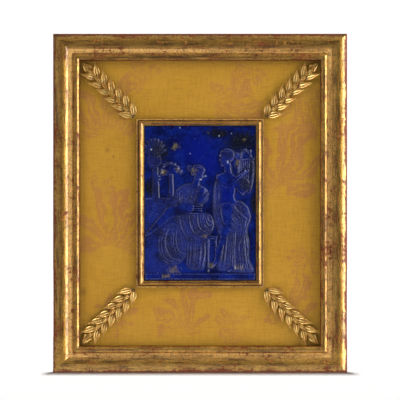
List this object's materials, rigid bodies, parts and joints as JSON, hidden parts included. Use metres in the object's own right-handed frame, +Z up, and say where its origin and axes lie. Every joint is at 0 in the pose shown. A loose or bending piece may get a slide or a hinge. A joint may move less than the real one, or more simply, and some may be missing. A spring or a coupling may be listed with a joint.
{
  "type": "framed relief plaque",
  "caption": "Carved blue stone relief in a gilded slip on a silk-covered mount, with laurel sprays on the diagonals of a gilded moulded frame.",
  "frame": {"origin": "middle of the flat back, on the wall", "axes": "+Z up along the height, +X to the viewer's right, +Y into the wall; the front faces -Y"},
  "size_m": [0.206, 0.018, 0.2374],
  "materials": {
    "gilding": "carved wood with burnished, worn gold leaf over red-brown bole",
    "gilt_metal": "gilt, bright, chased leaves",
    "silk": "golden silk damask with a visible weave",
    "lapis": "polished deep blue lapis lazuli with pyrite and calcite flecks",
    "backboard": "plain planed wood"
  },
  "bodies": {
    "root": {"frame_rail_top": "gilding", "frame_rail_right": "gilding", "frame_rail_bottom": "gilding", "frame_rail_left": "gilding", "backboard": "backboard", "mount_board": "backboard", "silk_cover": "silk", "slip_top": "gilding", "slip_right": "gilding", "slip_bottom": "gilding", "slip_left": "gilding", "lapis_plaque": "lapis", "laurel_spray_top_left": "gilt_metal", "laurel_spray_top_right": "gilt_metal", "laurel_spray_bottom_left": "gilt_metal", "laurel_spray_bottom_right": "gilt_metal"}
  },
  "joints": []
}
